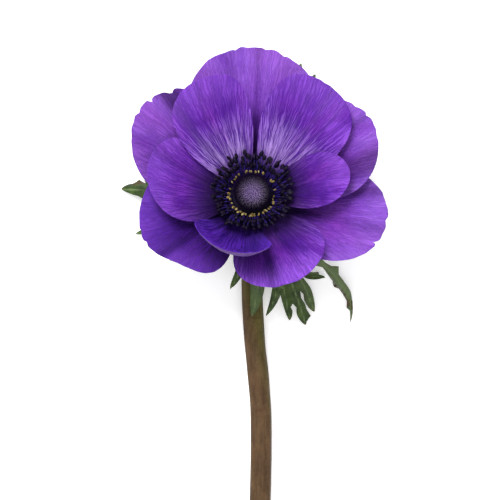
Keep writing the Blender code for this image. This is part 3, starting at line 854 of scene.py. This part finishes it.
# These folds also darken the colour as painted shade.
SHADED_FOLDS |= {
    "inner_petal_upper_right": (
        Crease(-0.12, 0.5, 0.06), Crease(-0.38, 0.35, 0.05), Crease(0.2, 0.3, 0.05),
    ),
    "inner_petal_upper_left": (Crease(0.55, 0.7, 0.10), Crease(0.1, 0.3, 0.07)),
    "inner_petal_lower_right": (Crease(-0.35, 0.7, 0.12), Crease(0.3, 0.3, 0.08)),
    "inner_petal_left": (Crease(-0.3, 0.4, 0.10),),
}
for seed, (petal, look) in enumerate(zip(INNER_PETALS, INNER_LOOKS), start=11):
    make_petal(petal, seed, petal_material(petal.name, seed, **look), petal_underside)


# Carpels. Hundreds of them are packed into a low dark dome on the receptacle, and each ends in a
# short style covered in down, so that the dome has a lilac bloom on top. Where the dome faces
# straight up it is also painted lighter, as a painted highlight.

DOME_RADIUS, DOME_HEIGHT = 5.9, 8.2
DOME_FOOT = 0.35  # above the receptacle's top
DOME_WAIST = 0.4  # the share of its height where it is widest
STYLE_COUNT = 1500
STYLE_LENGTH = 0.95
STYLE_RADIUS = 0.10
STYLE_SUNK = 0.15
STYLED_PART = 1.25  # how far down the dome the styles grow, where 1 is half way round
GOLDEN_ANGLE = math.pi * (3 - math.sqrt(5))
CROWN = Vector((0.05, -0.32, 0.93)).normalized()  # where the dome's down is thickest and its painted highlight brightest, facing straight up


def dome_point(polar, azimuth):
    """(place, outward direction) on the dome, in the bloom's frame."""
    middle = RECEPTACLE_TOP + DOME_FOOT + DOME_HEIGHT * DOME_WAIST
    half_height = DOME_HEIGHT * (1 - DOME_WAIST)
    flat_part = math.sin(polar)
    around = Vector((math.cos(azimuth), math.sin(azimuth), 0))
    height = middle + half_height * math.cos(polar)
    place = around * DOME_RADIUS * flat_part + Vector((0, 0, height))
    outward = around * flat_part / DOME_RADIUS + Vector((0, 0, math.cos(polar) / half_height))
    return place, outward.normalized()


def make_carpels(material):
    bm = bmesh.new()
    tip = bm.verts.layers.float.new("tip")
    crown = bm.verts.layers.float.new("crown")
    chance = random.Random(5)
    bmesh.ops.create_uvsphere(bm, u_segments=48, v_segments=24, radius=1.0)
    for vert in bm.verts:
        polar = math.acos(max(min(vert.co.z, 1.0), -1.0))
        place, outward = dome_point(polar, math.atan2(vert.co.y, vert.co.x))
        place.z = max(place.z, RECEPTACLE_TOP + 0.05)
        vert.co = bloom_place @ (place * MM)
        vert[crown] = outward.dot(CROWN)
    for i in range(STYLE_COUNT):
        share = (i + 0.5) / STYLE_COUNT
        polar = math.acos(1 - STYLED_PART * share)
        azimuth = i * GOLDEN_ANGLE + chance.uniform(-0.06, 0.06)
        place, outward = dome_point(polar, azimuth)
        # The styles lean up towards the crown, more so low on the sides.
        stray = Vector((chance.uniform(-0.22, 0.22), chance.uniform(-0.22, 0.22), 0))
        lean = (outward + Vector((0, 0, 0.55)) + stray).normalized()
        length = STYLE_LENGTH * chance.uniform(0.75, 1.15)
        turn = lean.to_track_quat("Z", "Y").to_matrix().to_4x4()
        centre = place + lean * (length / 2 - STYLE_SUNK)
        made = bmesh.ops.create_cone(
            bm, cap_ends=True, segments=5, depth=length * MM, radius1=STYLE_RADIUS * MM,
            radius2=0.35 * STYLE_RADIUS * MM,
            matrix=bloom_place @ Matrix.Translation(centre * MM) @ turn,
        )["verts"]
        middle = bloom_place @ (centre * MM)
        up = bloom_place.to_3x3() @ lean
        for vert in made:
            vert[tip] = 1.0 if (vert.co - middle).dot(up) > 0 else 0.0
            vert[crown] = outward.dot(CROWN)
    bmesh.ops.recalc_face_normals(bm, faces=bm.faces[:])
    make_piece("carpel_dome", bm, material, "carpels", "carpel_dome")


carpel_down, tree, shader = start_material("carpel_down", Roughness=0.75, Specular_IOR_Level=0.03)
speck = noise_at(tree, object_place(tree), 2500.0)
# Partly painted highlight: the feet and style tips turn pale lilac where the dome faces straight
# up, and the speckle of the real down breaks this up.
crown = sums(tree, "POWER", sums(tree, "MAXIMUM", stored(tree, "crown"), 0.0), 5.5)
down_and_highlight = sums(tree, "MULTIPLY", crown, ramp(tree, speck, 0.4, 0.58, 0.4, 1.0))
feet = blend(tree, down_and_highlight, tone(8, 2, 18), tone(100, 76, 130))
tips = blend(tree, down_and_highlight, tone(24, 8, 44), tone(250, 236, 255))
colour = blend(tree, stored(tree, "tip"), feet, tips)
plug(tree, shader, colour=colour, height=speck, bump=0.2, distance=0.05)
make_carpels(carpel_down)


# Stamens. Over a hundred stand in whorls around the dome: violet filaments with blue-black anthers,
# dusty with dark pollen. The innermost are short, and their small anthers are still yellow.

# lean is the filaments' slope from the bloom's axis at the foot and at the tip, in degrees. Sizes
# are the ring's radius, the filament's length and the anther's length and half width. stray is how
# far a stamen stands from its even place, in steps between stamens, and crowding how much closer
# together they stand in front, on the stem's side. shortest is the least share of the length.
Whorl = namedtuple(
    "Whorl",
    "name count ring_radius length shortest foot_lean tip_lean anther half_width stray crowding "
    "seed",
)
WHORLS = (
    Whorl("stamens_inner", 56, 6.8, 2.4, 0.66, 5, 40, 1.3, 0.46, 2.2, 0.6, 1),
    Whorl("stamens_middle", 104, 7.5, 4.4, 0.42, 15, 64, 2.1, 0.78, 1.0, 0.15, 2),
    Whorl("stamens_outer", 78, 8.2, 6.6, 0.62, 25, 70, 2.4, 0.84, 1.0, 0, 3),
)
CROWDED_AT = math.radians(250)
FILAMENT_RADIUS = 0.19
FILAMENT_STEPS = 5
GROOVE_DEPTH, GROOVE_WIDTH = 0.45, 0.35  # of the groove between an anther's sacs, as shares
ANTHER_FLATNESS = 0.78


def curved_stamen(whorl, azimuth, length, foot_lean, tip_lean):
    """[(place, direction)] up a filament that leans out more and more, in the bloom's frame."""
    outward = Vector((math.cos(azimuth), math.sin(azimuth), 0))
    point = outward * whorl.ring_radius + Vector((0, 0, RECEPTACLE_TOP - 0.1))
    stations = []
    for i in range(FILAMENT_STEPS + 1):
        share = i / FILAMENT_STEPS
        lean = math.radians(foot_lean + (tip_lean - foot_lean) * share)
        along = outward * math.sin(lean) + Vector((0, 0, math.cos(lean)))
        stations.append((point.copy(), along))
        point += along * length / FILAMENT_STEPS
    return stations


def grow_filament(bm, stations, part):
    edges, last = [], []
    for i, (place, along) in enumerate(stations):
        turn = along.to_track_quat("Z", "Y").to_matrix().to_4x4()
        radius = FILAMENT_RADIUS * (1.3 - 0.5 * i / FILAMENT_STEPS)
        matrix = bloom_place @ Matrix.Translation(place * MM) @ turn
        made = bmesh.ops.create_circle(bm, segments=6, radius=radius * MM, matrix=matrix)["verts"]
        rim = list({e for v in made for e in v.link_edges})
        if edges:
            bmesh.ops.bridge_loops(bm, edges=edges + rim)
        edges, last = rim, made
        for vert in made:
            vert[part] = 0.0
    bm.faces.new(last)


def grow_anther(bm, place, along, twist, whorl, size, part):
    """Two pollen sacs side by side, joined along their length."""
    turn = along.to_track_quat("Z", "Y").to_matrix().to_4x4() @ Matrix.Rotation(twist, 4, "Z")
    half = whorl.half_width * size
    centre = place + along * whorl.anther * size * 0.4
    made = bmesh.ops.create_uvsphere(bm, u_segments=8, v_segments=6, radius=1.0)["verts"]
    matrix = bloom_place @ Matrix.Translation(centre * MM) @ turn
    for vert in made:
        groove = 1 - GROOVE_DEPTH * math.exp(-(vert.co.x / GROOVE_WIDTH) ** 2)
        deep = vert.co.y * ANTHER_FLATNESS * half * groove
        shape = Vector((vert.co.x * half, deep, vert.co.z * whorl.anther * size / 2))
        vert.co = matrix @ (shape * MM)
        vert[part] = 1.0


def make_stamens(whorl, material):
    bm = bmesh.new()
    part = bm.verts.layers.float.new("anther")
    chance = random.Random(whorl.seed)
    for i in range(whorl.count):
        azimuth = (i + chance.uniform(-whorl.stray, whorl.stray)) * math.tau / whorl.count
        azimuth -= whorl.crowding * math.sin(azimuth - CROWDED_AT)
        length = whorl.length * chance.uniform(whorl.shortest, 1.08)
        tip_lean = whorl.tip_lean + chance.uniform(-16, 10)
        stations = curved_stamen(whorl, azimuth, length, whorl.foot_lean, tip_lean)
        grow_filament(bm, stations, part)
        place, along = stations[-1]
        wag = Vector([chance.uniform(-0.35, 0.35) for _ in range(3)])
        grow_anther(
            bm, place, (along + wag).normalized(), chance.uniform(0, math.pi), whorl,
            chance.uniform(0.85, 1.1), part,
        )
    bmesh.ops.recalc_face_normals(bm, faces=bm.faces[:])
    make_piece(whorl.name, bm, material, "stamens", whorl.name)


def stamen_material(name, anther_dark, anther_dust):
    made, tree, shader = start_material(name, Roughness=0.45, Specular_IOR_Level=0.08)
    place = object_place(tree)
    dust = noise_at(tree, place, 1600.0, 3.0, 0.7)
    sacs = blend(tree, ramp(tree, dust, 0.45, 0.75), anther_dark, anther_dust)
    threads = blend(tree, noise_at(tree, place, 900.0), tone(12, 5, 40), tone(54, 38, 126))
    colour = blend(tree, stored(tree, "anther"), threads, sacs)
    plug(tree, shader, colour=colour, height=dust, bump=0.5, distance=0.08)
    return made


dark_anthers = stamen_material("dark_anthers", tone(6, 2, 16), tone(44, 32, 66))
yellow_anthers = stamen_material("yellow_anthers", tone(118, 98, 52), tone(182, 170, 120))
for whorl in WHORLS:
    make_stamens(whorl, yellow_anthers if whorl.name == "stamens_inner" else dark_anthers)


# Stage. The flower lies on a plain white table that glows a little, so that its shadow is faint.
# It is lit softly by two discs and a white room, and the camera looks straight down on it.

FLOOR_SIZE, FLOOR_DROP = 3.0, 0.0002
TABLE_GLOW, ROOM_LIGHT = 0.3, 0.8
CAMERA_HEIGHT = 900.0
VIEW_WIDTH, PETAL_HEIGHT = 167.5, 30.0  # what the camera takes in at the height of the petals
VIEW_X, VIEW_Y = BLOOM_X - 0.7, BLOOM_Y - 18.4  # the middle of the view, on the stem's side
SENSOR = 36.0

bm = bmesh.new()
bmesh.ops.create_grid(bm, x_segments=1, y_segments=1, size=FLOOR_SIZE / 2)
floor_mesh = bpy.data.meshes.new("table")
bm.to_mesh(floor_mesh)
bm.free()
table_white, tree, shader = start_material(
    "table_white", Roughness=0.8, Specular_IOR_Level=0.1, Emission_Color=(1.0, 1.0, 1.0, 1.0),
    Emission_Strength=TABLE_GLOW,
)
grain = noise_at(tree, object_place(tree), 40.0, 3.0)
plug(tree, shader, colour=blend(tree, grain, tone(248, 248, 248), tone(252, 252, 252)))
floor_mesh.materials.append(table_white)
floor = bpy.data.objects.new("table", floor_mesh)
bpy.context.scene.collection.objects.link(floor)
floor.location.z = -FLOOR_DROP


def soft_light(name, place, size, power):
    light = bpy.data.lights.new(name, "AREA")
    light.shape = "DISK"
    light.size = size
    light.energy = power
    made = bpy.data.objects.new(name, light)
    bpy.context.scene.collection.objects.link(made)
    made.location = Vector(place)
    towards = Vector((0, BLOOM_Y * MM, 0)) - made.location
    made.rotation_euler = towards.to_track_quat("-Z", "Y").to_euler()


soft_light("window_light", (-0.4, 1.0, 1.3), 0.9, 32.0)
soft_light("front_fill", (0.2, -0.7, 1.4), 1.0, 6.0)

world = bpy.data.worlds.new("studio")
world.use_nodes = True
room = world.node_tree.nodes["Background"].inputs
room["Color"].default_value = (1.0, 1.0, 1.0, 1.0)
room["Strength"].default_value = ROOM_LIGHT
bpy.context.scene.world = world
bpy.context.scene.view_settings.view_transform = "Standard"

camera_data = bpy.data.cameras.new("camera")
camera_data.sensor_width = SENSOR
camera_data.lens = SENSOR * (CAMERA_HEIGHT - PETAL_HEIGHT) / VIEW_WIDTH
camera_data.clip_start = 0.01
camera = bpy.data.objects.new("camera", camera_data)
bpy.context.scene.collection.objects.link(camera)
camera.location = Vector((VIEW_X, VIEW_Y, CAMERA_HEIGHT)) * MM
bpy.context.scene.camera = camera
